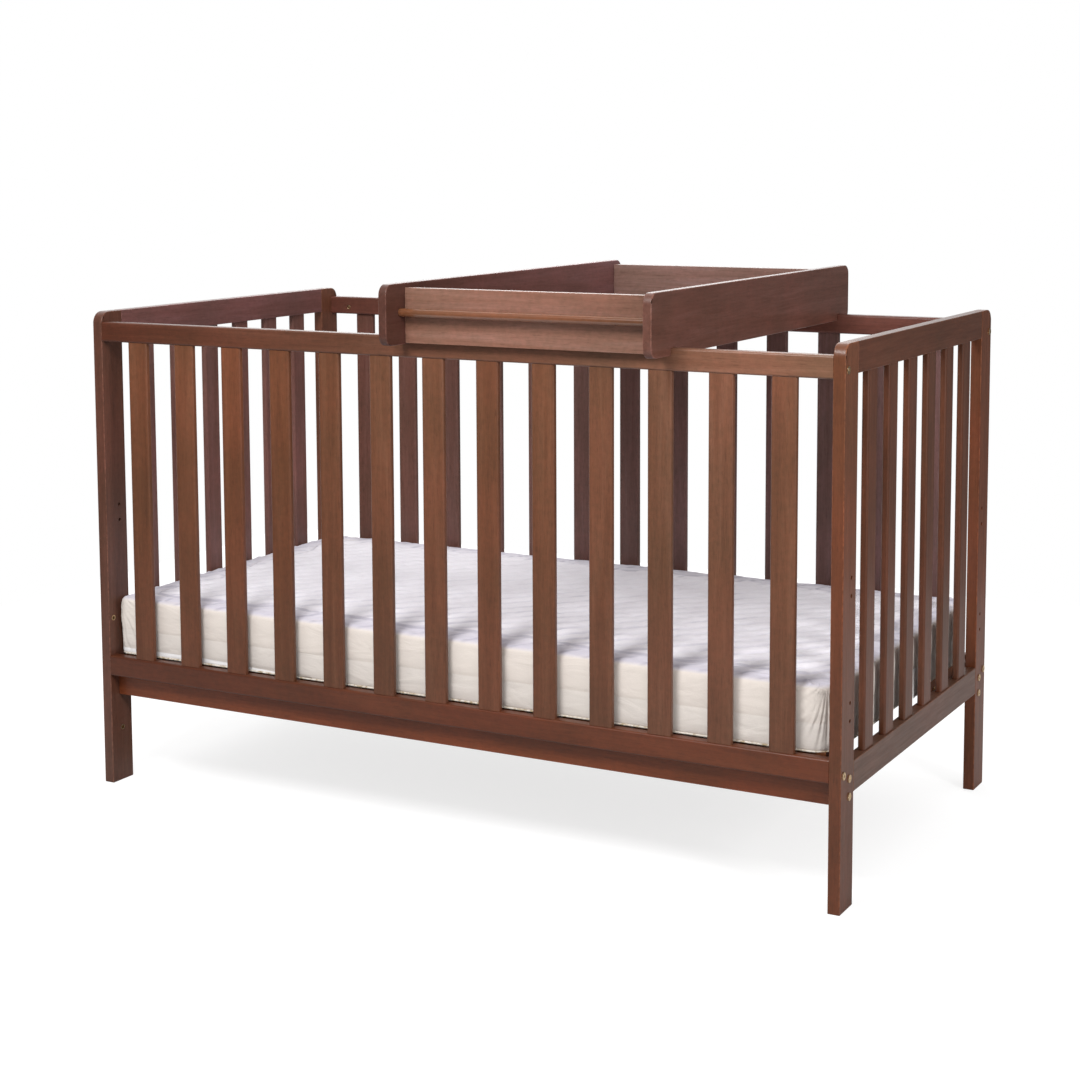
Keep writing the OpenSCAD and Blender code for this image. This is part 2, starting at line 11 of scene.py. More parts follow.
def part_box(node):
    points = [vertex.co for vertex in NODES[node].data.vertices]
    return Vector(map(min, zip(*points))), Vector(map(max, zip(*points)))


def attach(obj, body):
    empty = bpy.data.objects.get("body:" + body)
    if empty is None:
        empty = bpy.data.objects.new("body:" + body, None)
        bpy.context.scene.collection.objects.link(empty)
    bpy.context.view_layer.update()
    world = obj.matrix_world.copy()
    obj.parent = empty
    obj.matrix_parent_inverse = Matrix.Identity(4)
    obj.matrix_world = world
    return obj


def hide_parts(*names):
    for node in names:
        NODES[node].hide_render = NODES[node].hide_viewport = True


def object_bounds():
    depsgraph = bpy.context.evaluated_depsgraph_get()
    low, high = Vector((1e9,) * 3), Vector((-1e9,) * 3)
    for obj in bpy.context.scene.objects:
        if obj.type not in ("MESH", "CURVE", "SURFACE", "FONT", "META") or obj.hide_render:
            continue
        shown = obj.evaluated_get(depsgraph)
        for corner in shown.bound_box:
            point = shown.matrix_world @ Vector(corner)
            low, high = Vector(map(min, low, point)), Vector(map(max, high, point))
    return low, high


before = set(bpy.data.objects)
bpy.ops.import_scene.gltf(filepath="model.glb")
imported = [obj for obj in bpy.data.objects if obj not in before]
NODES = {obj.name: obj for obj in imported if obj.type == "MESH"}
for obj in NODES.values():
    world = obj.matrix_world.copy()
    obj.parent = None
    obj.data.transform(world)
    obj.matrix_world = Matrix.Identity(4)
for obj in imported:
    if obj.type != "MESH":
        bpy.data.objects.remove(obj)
CAD_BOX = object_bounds()

# ---- Camera: fitted to the photograph's edges, in pixels of a 1080 x 1080 frame ----
FRAME_PX = 1080
FOCAL_PX = 2037.94
PRINCIPAL_Y = 370.0
SENSOR_MM = 36.0
AZIMUTH, PITCH, ROLL = 28.5989, 6.0679, -0.242
CAMERA_AT = Vector((1.77081, -3.23140, 1.16632))

# ---- Light: a soft sky, a key lamp in front, weaker ones at the right and behind ----
# The sky's level a little below the horizon, at the horizon and overhead
SKY_LOW, SKY_LEVEL, SKY_TOP = 0.36, 0.56, 1.15
SKY_LOW_AT = -0.2
# What a gloss sees: a dim room with a bright wall. The wall sets in between these parts of a
# direction towards the back, and towards the left
GLOSS_DIM, GLOSS_BRIGHT = 0.14, 1.50
WALL_BACK, WALL_LEFT = (-0.2, 0.3), (0.15, -0.35)
LAMPS = {
    # name: place, side length, watts
    "key": ((0.05, -2.0, 2.4), 0.85, 50.0),
    "right": ((2.85, -1.25, 1.4), 0.6, 34.0),
    "back": ((-1.6, 3.0, 2.4), 2.0, 34.0),
}
AIM = (0.0, 0.0, 0.45)
FLOOR_HALF = 1.95
FLOOR_COLOUR = 0.48
# The floor as the camera sees it: the colour that takes the shadow, and a glow over it
FLOOR_SEEN_COLOUR, FLOOR_GLOW = 0.34, 0.735


# ---- Small helpers ----

def cleared(owner):
    """The node tree of a material or world, with no nodes in it."""
    owner.use_nodes = True
    owner.node_tree.nodes.clear()
    return owner.node_tree


def add(tree, kind, **values):
    """A node of that kind. Inputs are set by name or by i0, i1 and so on; the rest are attributes."""
    node = tree.nodes.new(kind)
    for key, value in values.items():
        if key[0] == "i" and key[1:].isdigit():
            node.inputs[int(key[1:])].default_value = value
        elif key in node.inputs:
            node.inputs[key].default_value = value
        else:
            setattr(node, key, value)
    return node


def feed(tree, socket, value):
    """Links a node's output to the socket, or sets the socket's own value."""
    if isinstance(value, bpy.types.NodeSocket):
        tree.links.new(value, socket)
    else:
        socket.default_value = value


def new_material(name):
    """A material, its node tree, its one shader and the object's coordinates."""
    mat = bpy.data.materials.new(name)
    tree = cleared(mat)
    out = add(tree, "ShaderNodeOutputMaterial")
    shader = add(tree, "ShaderNodeBsdfPrincipled")
    tree.links.new(shader.outputs[0], out.inputs[0])
    return mat, tree, shader, add(tree, "ShaderNodeTexCoord").outputs["Object"]


def grey(value):
    return (value, value, value)


def solid(colour):
    """The colour with its alpha."""
    return (*colour, 1.0)


def ramp(tree, source, stops):
    node = add(tree, "ShaderNodeValToRGB")
    marks = node.color_ramp.elements
    while len(marks) < len(stops):
        marks.new(0.5)
    for mark, (at, colour) in zip(marks, stops):
        mark.position = at
        mark.color = solid(colour)
    tree.links.new(source, node.inputs[0])
    return node.outputs[0]


def mix_level(tree, factor, a, b):
    """Between two numbers, which are a Mix node's inputs 2 and 3."""
    node = add(tree, "ShaderNodeMix")
    for index, value in ((0, factor), (2, a), (3, b)):
        feed(tree, node.inputs[index], value)
    return node.outputs[0]


def mix_colour(tree, blend, factor, a, b):
    """Two colours blended, which are a Mix node's inputs 6 and 7."""
    node = add(tree, "ShaderNodeMix", data_type="RGBA", blend_type=blend)
    for index, value in ((0, factor), (6, a), (7, b)):
        feed(tree, node.inputs[index], value)
    return node.outputs[2]


def math_node(tree, operation, *values):
    node = add(tree, "ShaderNodeMath", operation=operation)
    for socket, value in zip(node.inputs, values):
        feed(tree, socket, value)
    return node.outputs[0]


def map_range(tree, source, low, high, to_low=0.0, to_high=1.0):
    node = add(tree, "ShaderNodeMapRange", i1=low, i2=high, i3=to_low, i4=to_high)
    tree.links.new(source, node.inputs[0])
    return node.outputs[0]


def axes_of(tree, coords):
    """The x, y and z outputs of the coordinates."""
    node = add(tree, "ShaderNodeSeparateXYZ")
    tree.links.new(coords, node.inputs[0])
    return node.outputs


def noise_map(tree, coords, scale, detail, roughness=0.5, distortion=0.0):
    node = add(tree, "ShaderNodeTexNoise", Scale=scale, Detail=detail, Roughness=roughness,
               Distortion=distortion)
    tree.links.new(coords, node.inputs[0])
    return node.outputs[0]


def bumped(tree, height, strength, distance, below=None):
    """The normal of a relief, laid over the normal below it."""
    node = add(tree, "ShaderNodeBump", Strength=strength, Distance=distance)
    tree.links.new(height, node.inputs["Height"])
    if below is not None:
        tree.links.new(below, node.inputs["Normal"])
    return node.outputs[0]


def shaded(tree, base, source, layer):
    """The base colour times a layer's shades: how much of them, then their stops on the source."""
    share, *stops = layer
    return mix_colour(tree, "MULTIPLY", share, base, ramp(tree, source, stops))


def scene_object(name, data):
    obj = bpy.data.objects.new(name, data)
    bpy.context.scene.collection.objects.link(obj)
    return obj


def smoothed(data):
    """Shades a mesh smooth."""
    for poly in data.polygons:
        poly.use_smooth = True


# ---- Wood ----

# Linear colours of the darkest streak, the middle and the lightest, and where they lie in the figure
WALNUT = ((0.110, 0.033, 0.0110), (0.142, 0.0455, 0.0165), (0.178, 0.064, 0.026))
ROD_WOOD = ((0.110, 0.035, 0.012), (0.150, 0.053, 0.022), (0.190, 0.076, 0.038))
STAIN_AT = (0.16, 0.50, 0.84)
# The lacquer: roughness, specular level, and weight of its clear coat
SATIN, GLOSSY = (0.42, 0.34, 0.12), (0.24, 0.60, 0.70)
COAT_ROUGHNESS = 0.17
# How much rougher the lacquer is in the fibre's dips, and smoother on its ridges
ROUGHER, SMOOTHER = 0.05, 0.04

GRAIN_STRETCH = {"x": (0.05, 1.0, 1.0), "y": (1.0, 0.05, 1.0), "z": (1.0, 1.0, 0.05)}
# Noises: scale, detail, roughness and distortion. The first three are drawn out along the grain
FIGURE, FIBRE, PORES = (60.0, 4.0, 0.6, 0.7), (260.0, 3.0, 0.6), (900.0, 2.0, 0.6)
MOTTLE, CLOUDS, EDGE_HIGHLIGHT_NOISE = (115.0, 4.0, 0.7), (7.0, 3.0), (130.0, 4.0, 0.7)
# Shades over the stain: how much of them, then the darker and the paler one with its place
STREAKS = (0.50, (0.34, (0.88, 0.87, 0.86)), (0.66, (1.12, 1.13, 1.14)))
FLECKS = (0.80, (0.34, (0.88, 0.92, 0.90)), (0.66, (1.12, 1.08, 1.10)))
SPECKS = (0.55, (0.34, (0.60, 0.56, 0.54)), (0.44, grey(1.03)))
PATCHES = (0.90, (0.34, (0.88, 0.93, 0.90)), (0.66, (1.13, 1.07, 1.08)))
# The last shades paint a highlight on the rounded edges: paler and bluer, in patches
PAINTED_EDGE_HIGHLIGHT = (1.00, (0.40, grey(1.00)), (0.64, (1.75, 1.85, 1.95)))
# The relief: shares of fibre and pores, and the bump's strength and depth
FIBRE_SHARE, PORE_SHARE = 0.6, 0.4
WOOD_RELIEF = (0.16, 0.0006)

BRASS_GLINT_NOISE = (900.0, 3.0)
# Brass over a fine noise: darker brass with pale spots, which paint glints
BRASS_TONES = ((0.32, (0.34, 0.20, 0.09)), (0.50, (0.80, 0.56, 0.30)), (0.68, (0.98, 0.78, 0.52)))
BRASS_ROUGHNESS = ((0.3, grey(0.36)), (0.7, grey(0.22)))


def grain_noise(tree, coords, axis, kind):
    """Noise drawn out along the grain."""
    place = add(tree, "ShaderNodeMapping", Scale=GRAIN_STRETCH[axis])
    tree.links.new(coords, place.inputs[0])
    return noise_map(tree, place.outputs[0], *kind)


def scaled(colour, tone):
    return tuple(c * t for c, t in zip(colour, tone))


def light_drifted(tree, coords, base, light_drifts):
    """The base colour with painted light, shade and sheen, changed evenly along each drift's axis
    across the whole object.
    """
    axes = axes_of(tree, coords)
    for axis, first, last in light_drifts:
        along = map_range(tree, axes[axis], CAD_BOX[0][axis], CAD_BOX[1][axis])
        base = shaded(tree, base, along, (1.0, (0.0, first), (1.0, last)))
    return base


def wood(name, axis, colours, tone, finish, lit_edges=False, light_drifts=()):
    """Stained wood under lacquer, its grain along one axis, with a painted highlight on its rounded
    edges if asked, and painted light, shade and sheen along the drifts' axes.
    """
    roughness, shine, coat = finish
    mat, tree, shader, coords = new_material(name)
    figure, fibre, pores = (grain_noise(tree, coords, axis, kind) for kind in (FIGURE, FIBRE, PORES))
    stain = [scaled(colour, tone) for colour in colours]
    base = ramp(tree, figure, list(zip(STAIN_AT, stain)))
    base = shaded(tree, base, fibre, STREAKS)
    base = shaded(tree, base, noise_map(tree, coords, *MOTTLE), FLECKS)
    # Painted light, shade and sheen that change along the object's axes
    base = light_drifted(tree, coords, base, light_drifts)
    base = shaded(tree, base, pores, SPECKS)
    base = shaded(tree, base, noise_map(tree, coords, *CLOUDS), PATCHES)
    # A painted highlight: the faces of the rounded edges paler and bluer, in patches
    if lit_edges:
        base = shaded(tree, base, noise_map(tree, coords, *EDGE_HIGHLIGHT_NOISE), PAINTED_EDGE_HIGHLIGHT)
    tree.links.new(base, shader.inputs["Base Color"])
    gloss = ramp(tree, fibre, ((0.3, grey(roughness + ROUGHER)), (0.7, grey(roughness - SMOOTHER))))
    tree.links.new(gloss, shader.inputs["Roughness"])
    height = math_node(tree, "ADD", math_node(tree, "MULTIPLY", fibre, FIBRE_SHARE),
                       math_node(tree, "MULTIPLY", pores, PORE_SHARE))
    tree.links.new(bumped(tree, height, *WOOD_RELIEF), shader.inputs["Normal"])
    shader.inputs["Specular IOR Level"].default_value = shine
    shader.inputs["Coat Weight"].default_value = coat
    shader.inputs["Coat Roughness"].default_value = COAT_ROUGHNESS
    return mat


def brass_material():
    mat, tree, shader, coords = new_material("brass")
    glint_spots = noise_map(tree, coords, *BRASS_GLINT_NOISE)
    # The pale spots in the base colour paint glints
    tree.links.new(ramp(tree, glint_spots, BRASS_TONES), shader.inputs["Base Color"])
    tree.links.new(ramp(tree, glint_spots, BRASS_ROUGHNESS), shader.inputs["Roughness"])
    shader.inputs["Metallic"].default_value = 1.0
    return mat


# ---- CAD nodes: grain directions, tones, materials and softened edges ----

# The grain of every other node runs upright
ALONG_X = ("front_top_rail", "front_bottom_rail", "rear_top_rail", "rear_bottom_rail",
           "base_front_rail", "base_rear_rail", "changer_front_board", "changer_rear_board",
           "changer_bottom_panel", "changer_rod", "changer_dowels")
ALONG_Y = ("left_top_rail", "left_bottom_rail", "right_top_rail", "right_bottom_rail",
           "base_slats", "changer_left_board", "changer_right_board", "end_panel_dowels")
BRASS_NODES = ("base_slat_screws", "side_rail_bolts", "side_rail_barrel_nuts", "base_bolts",
               "base_barrel_nuts", "insert_rings")
# Nodes inside the wood, which need no softened edges
SEALED = ("changer_dowels", "end_panel_dowels")
# Painted light, shade and sheen per part, which the wood's colours are multiplied by: darker where a
# part gets less light, bluer where a sheen is painted
TONES = {
    "post_front_left": (0.65, 0.74, 1.20),
    "post_front_right": (0.87, 0.81, 0.84),
    "post_rear_left": (0.87, 0.94, 1.35),
    "post_rear_right": (0.84, 0.75, 0.76),
    "front_bottom_rail": (0.76, 0.58, 0.52),
    "rear_top_rail": (0.84, 0.84, 1.55),
    "rear_bottom_rail": (0.90, 0.95, 1.35),
    "base_front_rail": (0.98, 0.70, 0.54),
    "changer_front_board": (1.45, 2.15, 4.00),
    "changer_rear_board": (1.38, 2.42, 5.40),
    "changer_left_board": (0.80, 0.96, 1.75),
    "changer_right_board": (0.84, 1.00, 1.90),
    "left_top_rail": (0.98, 1.25, 3.05),
    "left_bottom_rail": (1.00, 1.30, 3.00),
    "right_top_rail": (0.64, 0.62, 0.74),
    "right_bottom_rail": (0.66, 0.86, 1.35),
    "left_end_slats": (1.10, 1.45, 3.20),
    "right_end_slats": (0.66, 0.66, 0.80),
}
PLAIN = grey(1.0)
# The slats of the two long sides take turns at these tones, TONE_STEP apart
FRONT_TONES = ((0.93, 0.97, 1.0), (1.00, 0.98, 0.98), (0.97, 1.04, 1.12), (0.95, 0.95, 0.92),
               (1.03, 1.08, 1.16))
# The rear slats' tones differ at random, and all carry a painted bluish sheen
REAR_SHEEN_TONES = ((0.81, 1.02, 1.85), (0.87, 1.10, 2.00), (0.91, 1.17, 2.10))
TONE_STEP = 7
# Painted light, shade and sheen along an axis: darker where less light falls, paler and bluer where a
# sheen is painted. Axis, tone at the low end, tone at the high end
PAINTED_LIGHT_DRIFTS = {
    "front_top_rail": ((0, (0.55, 0.42, 0.47), (1.36, 1.90, 3.00)),),
    "front_bottom_rail": ((0, (0.68, 0.68, 0.68), (1.06, 1.04, 1.04)),),
    "front_slat": ((2, (0.62, 0.57, 0.53), (1.14, 1.26, 1.47)),
                   (0, (0.95, 0.88, 0.82), (0.98, 1.10, 1.31))),
    "rear_slat": ((0, (0.98, 1.00, 1.05), (1.07, 1.33, 1.85)),),
    "post_front_right": ((2, (0.70, 0.66, 0.58), (1.12, 1.16, 1.24)),),
    "changer_left_board": ((1, (0.68, 0.62, 0.62), (1.55, 1.80, 2.60)),),
}
# The rounding of edges by the start of a node's name. A rounding at least as wide as the value below
# the table gets a painted highlight, paler than the wood
EDGE_ROUND = {"post": 0.0015, "front_slat": 0.0004, "rear_slat": 0.0004, "front": 0.0005,
              "rear": 0.0005, "left": 0.0013, "right": 0.0013, "changer": 0.0016, "base": 0.0012}
LIT_EDGE_FROM = 0.001
ROUND_SEGMENTS = 3
# The weight that lets a large face turn the shading of the rounded edges beside it
LARGE_FACES_FIRST = 100
# The solids' meshes come with split corners, which are joined within this distance
MERGE_WITHIN = 1e-6
# An edge is rounded where its faces turn by more than this and it is longer than this. Any other
# stays crisp where its faces turn by more than the last value
ROUND_TURN, ROUND_LENGTH = math.radians(50), 0.0015
CRISP_TURN = math.radians(35)


def grain_of(name):
    if name in ALONG_X:
        return "x"
    return "y" if name in ALONG_Y else "z"


def tone_of(name):
    if name in TONES:
        return TONES[name]
    if "_slat_" in name:
        tones = FRONT_TONES if name.startswith("front") else REAR_SHEEN_TONES
        return tones[int(name.rsplit("_", 1)[1]) * TONE_STEP % len(tones)]
    return PLAIN


def by_start(table, name, otherwise):
    """The table's value for the longest key that the name starts with."""
    starts = [start for start in table if name.startswith(start)]
    return table[max(starts, key=len)] if starts else otherwise


def edge_round_of(name):
    return by_start(EDGE_ROUND, name, 0.0)


def edge_group():
    """A node group that joins the CAD mesh's split corners and marks its edges round or crisp."""
    group = bpy.data.node_groups.new("join_and_mark", "GeometryNodeTree")
    for way in ("INPUT", "OUTPUT"):
        group.interface.new_socket("Mesh", in_out=way, socket_type="NodeSocketGeometry")
    source = add(group, "NodeGroupInput")
    out = add(group, "NodeGroupOutput")
    merge = add(group, "GeometryNodeMergeByDistance", Distance=MERGE_WITHIN)
    angle = add(group, "GeometryNodeInputMeshEdgeAngle")
    ends = add(group, "GeometryNodeInputMeshEdgeVertices")
    span = add(group, "ShaderNodeVectorMath", operation="DISTANCE")
    steep = add(group, "FunctionNodeCompare", operation="GREATER_THAN", i1=ROUND_TURN)
    long = add(group, "FunctionNodeCompare", operation="GREATER_THAN", i1=ROUND_LENGTH)
    turned = add(group, "FunctionNodeCompare", operation="GREATER_THAN", i1=CRISP_TURN)
    rounded = add(group, "FunctionNodeBooleanMath", operation="AND")
    left_sharp = add(group, "FunctionNodeBooleanMath", operation="NIMPLY")
    mark = add(group, "GeometryNodeStoreNamedAttribute", data_type="FLOAT", domain="EDGE",
               Name="bevel_weight_edge")
    mark.inputs["Value"].default_value = 1.0
    smooth = add(group, "GeometryNodeSetShadeSmooth", domain="FACE")
    crisp = add(group, "GeometryNodeSetShadeSmooth", domain="EDGE")
    crisp.inputs["Shade Smooth"].default_value = False
    for start, end in (
            (ends.outputs["Position 1"], span.inputs[0]),
            (ends.outputs["Position 2"], span.inputs[1]),
            (angle.outputs[0], steep.inputs[0]),
            (angle.outputs[0], turned.inputs[0]),
            (span.outputs["Value"], long.inputs[0]),
            (steep.outputs[0], rounded.inputs[0]),
            (long.outputs[0], rounded.inputs[1]),
            (turned.outputs[0], left_sharp.inputs[0]),
            (rounded.outputs[0], left_sharp.inputs[1]),
            (source.outputs[0], merge.inputs[0]),
            (merge.outputs[0], mark.inputs["Geometry"]),
            (rounded.outputs[0], mark.inputs["Selection"]),
            (mark.outputs[0], smooth.inputs[0]),
            (smooth.outputs[0], crisp.inputs[0]),
            (left_sharp.outputs[0], crisp.inputs["Selection"]),
            (crisp.outputs[0], out.inputs[0])):
        group.links.new(start, end)
    return group


def soften_edges(obj, width, group):
    join = obj.modifiers.new("join", "NODES")
    join.node_group = group
    if width > 0:
        bevel = obj.modifiers.new("edges", "BEVEL")
        bevel.width = width
        bevel.segments = ROUND_SEGMENTS
        bevel.limit_method = "WEIGHT"
        bevel.use_clamp_overlap = False
        if len(obj.data.materials) > 1:
            bevel.material = 1
    normals = obj.modifiers.new("normals", "WEIGHTED_NORMAL")
    normals.weight = LARGE_FACES_FIRST
    normals.keep_sharp = True


def wood_pair(made, name):
    """The wood of a node and its rounded edge with a painted highlight, made once for each grain,
    tone, kind and painted light drift.
    """
    rod = name == "changer_rod"
    light_drifts = by_start(PAINTED_LIGHT_DRIFTS, name, ())
    key = (grain_of(name), tone_of(name), rod, light_drifts)
    if key not in made:
        title = "rod_wood" if rod else f"walnut_{key[0]}_{len(made) + 1}"
        colours, finish = (ROD_WOOD, GLOSSY) if rod else (WALNUT, SATIN)
        made[key] = [wood(title + tail, key[0], colours, key[1], finish, lit_edges, light_drifts)
                     for tail, lit_edges in (("", False), ("_edge", True))]
    return made[key]


def dress_cad_nodes():
    group = edge_group()
    made = {}
    brass = brass_material()
    for name, obj in NODES.items():
        if name == "mattress":
            continue
        obj.data.materials.clear()
        if name in BRASS_NODES:
            obj.data.materials.append(brass)
        else:
            plain, lit_edges = wood_pair(made, name)
            obj.data.materials.append(plain)
            # Rounded edges get a second material, with a painted highlight
            if edge_round_of(name) >= LIT_EDGE_FROM:
                obj.data.materials.append(lit_edges)
        if name not in SEALED:
            soften_edges(obj, edge_round_of(name), group)


# ---- Mattress: a sewn cover, puffed by cloth simulation, over the CAD solid's place ----

LOW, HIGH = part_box("mattress")
CENTRE = (LOW + HIGH) / 2
HALF = (HIGH - LOW) / 2
TINY = 1e-9
# The crown and the power of its fall towards the sides; the rim's height
CROWN, CROWN_POWER = 0.005, 4
RIM_UP = HIGH.z - LOW.z - CROWN
TOP_INSET = 0.010
SEAM_UP = 0.045
# Plan radii of the corners: left or right, front or rear
CORNER_RADII = {(-1, -1): 0.018, (1, -1): 0.036, (-1, 1): 0.032, (1, 1): 0.034}
# How far the soft cover stands out past the CAD solid at its left, right, front and rear
STANDS_OUT = {"left": 0.0035, "right": 0.0005, "front": 0.0062, "rear": 0.003}
# The side's outline from the underside up: how far in, and how high, both in metres
PROFILE = ((0.0030, 0.0), (0.0011, 0.0010), (0.0006, 0.0035), (0.0002, 0.012), (0.0, 0.022),
           (0.0002, 0.033), (0.0004, 0.040), (0.0006, 0.0435), (0.0008, SEAM_UP),
           (0.0004, 0.0465), (-0.0002, 0.050), (-0.0006, 0.058), (-0.0009, 0.068),
           (-0.0009, 0.079), (-0.0003, 0.089), (0.0, RIM_UP - 0.010), (0.0010, RIM_UP - 0.0064),
           (0.0029, RIM_UP - 0.0029), (0.0060, RIM_UP - 0.0008), (TOP_INSET, RIM_UP))

# The cloth simulation: its frames, how far a point may move, and its settings
PUFF_FRAMES, PUFF_MOST = 16, 0.006
CLOTH = {"quality": 4, "mass": 0.35, "bending_stiffness": 0.6, "vertex_group_mass": "hold",
         "use_pressure": True, "uniform_pressure_force": 4.0}
# How firmly the cloth is held on the channels, between them and on the sides, and the power that
# evens these out
HOLD_MAIN, HOLD_CROSS, HOLD_TOP, HOLD_SIDE, HOLD_POWER = 0.9, 0.35, 0.02, 0.05, 0.25
HOLD_WIDTH = 0.009

# Quilting: pitch and lean of the channels, their width and depths, and how uneven they are
# (share, scale, start of the noise). They begin within this distance of the crease
QUILT_PITCH = 0.037
QUILT_LEAN = math.radians(48)
CHANNEL_WIDTH, MAIN_DEEP, CROSS_DEEP = 0.0055, 0.0048, 0.0008
UNEVEN = (0.6, 9.0, 30.0)
QUILT_BEGINS_OVER = 0.03
# Waves of the quilt lines: size in metres, turns along x and y, and start
SWAY = ((0.0055, 8.3, 5.1, 0.4), (0.0030, -17.0, 26.0, 1.9), (0.0014, 61.0, 37.0, 0.0))
# The crease round the top: how far in, its depth and width, how it turns from x to y, and its
# waves: size, turns, start
CREASE_IN, CREASE_DEEP, CREASE_WIDTH, CREASE_SLANT = 0.050, 0.0034, 0.0055, 1.7
CREASE_SWAY = ((0.009, 14.0, 0.8), (0.005, 37.0, 2.1))
# The top's edge: how far it drops, over what distance, and the height over which the top begins
EDGE_DROP, EDGE_DROP_OVER, TOP_BEGINS_OVER = 0.0014, 0.05, 0.006
# Puckers of the top: where they begin, where and over what distance they fade, and by how much;
# then their waves: depth, scales along x, y and z, start
PUCKER_BEGIN, PUCKER_FADE_FROM, PUCKER_FADE_OVER, PUCKER_FADE = 0.012, 0.02, 0.09, 0.72
PUCKERS = ((0.0026, (20.0, 70.0, 0.0), 9.0), (0.0013, (55.0, 130.0, 0.0), 15.0))
# Gathers below the corners: depth; where they begin, where and over what distance they fade
# along the side, and round the corner; how far their fan's centre lies above the rim
GATHER_DEEP, GATHER_BEGIN, GATHER_FADE_FROM, GATHER_FADE_OVER = 0.0009, 0.015, 0.055, 0.075
GATHER_CORNER, GATHER_CENTRE_UP = 0.02, 0.006
# Folds of the fan: share, turns, start; then the noises that bend and roughen them
FAN_FOLDS = ((1.0, 31, 0.0), (0.7, 53, 1.3))
FAN_BEND, FAN_ROUGH = (0.10, 24.0, 3.0), (0.5, 90.0, 7.0)
# Height of the hem line above the underside at the left end of the front, and where it runs out
HEM_UP, HEM_FROM, HEM_TO = 0.0100, -0.50, -0.24
# The hem's depth and width, where and over what distance it ends behind the front, and the height
# from which it shows
HEM_DEEP, HEM_WIDTH, HEM_FRONT, HEM_FRONT_OVER, HEM_SHOWS = 0.0018, 0.0022, 0.004, 0.01, 0.001
# An odd power that turns a point's place in plan into the side that it belongs to
SIDE_POWER = 9


def smooth_step(value):
    value = np.clip(value, 0.0, 1.0)
    return value * value * (3 - 2 * value)


def grid_lines(half, fine=0.004, coarse=0.010, band=0.060):
    """Positions from -half to half, closer together within a band of either end."""
    edge = np.arange(0.0, band - TINY, fine)
    count = round((2 * half - 2 * band) / coarse)
    middle = np.linspace(band - half, half - band, count + 1)
    return np.concatenate([edge - half, middle, (half - edge)[::-1]])


def cover_grid():
    """The box-shaped grid's vertices as (x, y, level) and its faces, facing outwards."""
    xs, ys = grid_lines(HALF.x), grid_lines(HALF.y)
    nx, ny, nz = len(xs) - 1, len(ys) - 1, len(PROFILE) - 1
    index, spots, faces = {}, [], []

    def vert(i, j, k):
        if (i, j, k) not in index:
            index[i, j, k] = len(spots)
            spots.append((xs[i], ys[j], k))
        return index[i, j, k]

    for i in range(nx):
        for j in range(ny):
            for k, step in ((0, -1), (nz, 1)):
                ring = [vert(i, j, k), vert(i + 1, j, k), vert(i + 1, j + 1, k), vert(i, j + 1, k)]
                faces.append(ring[::step])
    for k in range(nz):
        for j in range(ny):
            for i, step in ((0, 1), (nx, -1)):
                ring = [vert(i, j, k), vert(i, j, k + 1), vert(i, j + 1, k + 1), vert(i, j + 1, k)]
                faces.append(ring[::step])
        for i in range(nx):
            for j, step in ((0, -1), (ny, 1)):
                ring = [vert(i, j, k), vert(i, j, k + 1), vert(i + 1, j, k + 1), vert(i + 1, j, k)]
                faces.append(ring[::step])
    return np.array(spots), faces


def corner_radius(x, y):
    """The plan radius of the nearest corner, blended between the corners."""
    right = smooth_step((x / HALF.x + 1) / 2)
    rear = smooth_step((y / HALF.y + 1) / 2)
    front_r = CORNER_RADII[-1, -1] * (1 - right) + CORNER_RADII[1, -1] * right
    rear_r = CORNER_RADII[-1, 1] * (1 - right) + CORNER_RADII[1, 1] * right
    return front_r * (1 - rear) + rear_r * rear


def rounded_plan(spots):
    """Plan points with round corners, drawn in by the profile, and the profile's height."""
    x, y = spots[:, 0], spots[:, 1]
    level = spots[:, 2].astype(int)
    inset = np.array([p[0] for p in PROFILE])[level]
    radius = corner_radius(x, y)
    core_x = np.clip(x, radius - HALF.x, HALF.x - radius)
    core_y = np.clip(y, radius - HALF.y, HALF.y - radius)
    out_x, out_y = x - core_x, y - core_y
    reach = np.maximum(abs(out_x), abs(out_y))
    length = np.maximum(np.hypot(out_x, out_y), TINY)
    scale = reach / length * (1 - inset / radius)
    height = np.array([p[1] for p in PROFILE])[level]
    return np.stack([core_x + out_x * scale, core_y + out_y * scale, height], axis=1)


def channel(distance, pitch, width):
    """1 on a sewn line, falling to 0 away from it, for lines one pitch apart."""
    off = abs((distance / pitch + 0.5) % 1.0 - 0.5) * pitch
    return np.exp(-((off / width) ** 2))


def field(points, scale, start):
    """Smooth noise at the points, from -1 to 1."""
    return np.array([noise.noise(Vector(p) * scale + Vector((start, 0, 0))) for p in points])


def quilt_lines(points, width):
    """How close each point is to a main and to a cross channel, both a little wavy."""
    x, y = points[:, 0], points[:, 1]
    sway = sum(size * np.sin(kx * x + ky * y + start) for size, kx, ky, start in SWAY)
    across = x * math.sin(QUILT_LEAN) - y * math.cos(QUILT_LEAN) + sway
    other = x * math.sin(QUILT_LEAN) + y * math.cos(QUILT_LEAN) - sway
    return channel(across, QUILT_PITCH, width), channel(other, QUILT_PITCH, width)


def spread(points):
    """Lets the cover stand out past the CAD solid, more at the front and left."""
    out = points.copy()
    for axis, half, (low, high) in ((0, HALF.x, ("left", "right")), (1, HALF.y, ("front", "rear"))):
        share = points[:, axis] / half
        out[:, axis] += np.where(share < 0, STANDS_OUT[low], STANDS_OUT[high]) * share
    return out


def edge_distance(points):
    """How far in from the nearest side each point lies."""
    return np.minimum(HALF.x - abs(points[:, 0]), HALF.y - abs(points[:, 1]))


